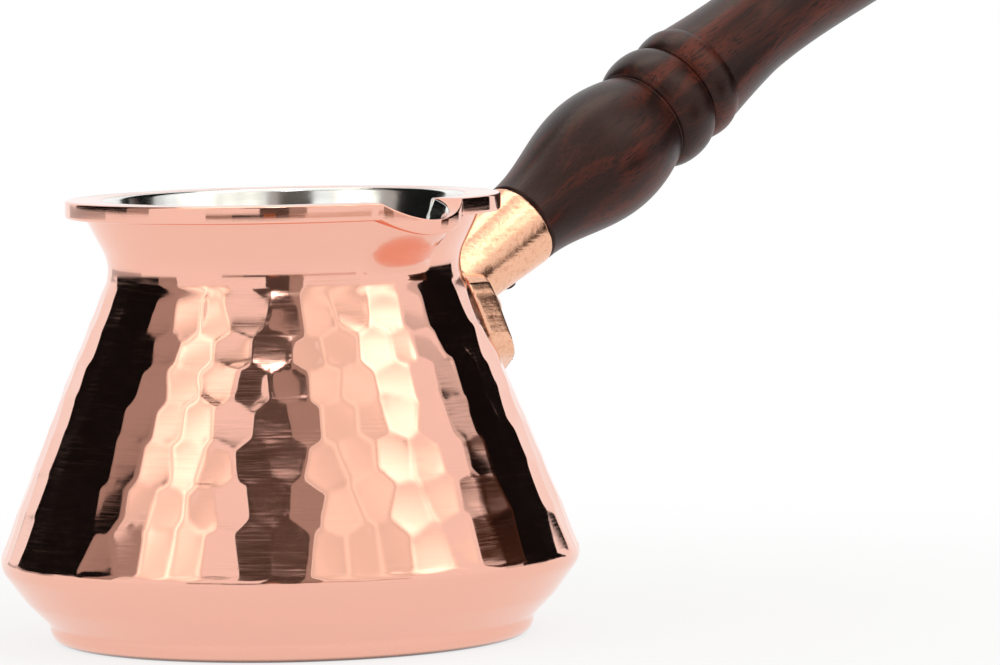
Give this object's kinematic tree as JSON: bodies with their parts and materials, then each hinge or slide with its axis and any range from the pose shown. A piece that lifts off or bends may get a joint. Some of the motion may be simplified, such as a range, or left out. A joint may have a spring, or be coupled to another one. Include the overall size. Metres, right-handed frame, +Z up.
{
  "type": "coffee pot",
  "caption": "Small hammered copper coffee pot with a wide belly, narrow neck, flat rim with a pressed pouring lip, tinned inside, and a long turned wooden handle in a riveted bracket.",
  "frame": {"origin": "centre of the flat base, on the surface that the pot stands on", "axes": "+Z up along the pot's axis, +X towards the handle, -Y towards the pouring lip"},
  "size_m": [0.224, 0.097, 0.1401],
  "materials": {
    "copper_shell": "mirror-polished planished copper",
    "tin_coat": "wiped tin, bright",
    "cast_copper": "satin brushed casting, copper coloured",
    "rivet_copper": "polished copper",
    "steel_pin": "dark steel",
    "dark_wood": "dark stained walnut under satin lacquer"
  },
  "bodies": {
    "root": {"pot_body": "copper_shell", "tin_lining": "tin_coat", "bracket": "cast_copper", "rivets": "rivet_copper", "socket_pin": "steel_pin", "handle": "dark_wood"}
  },
  "joints": []
}
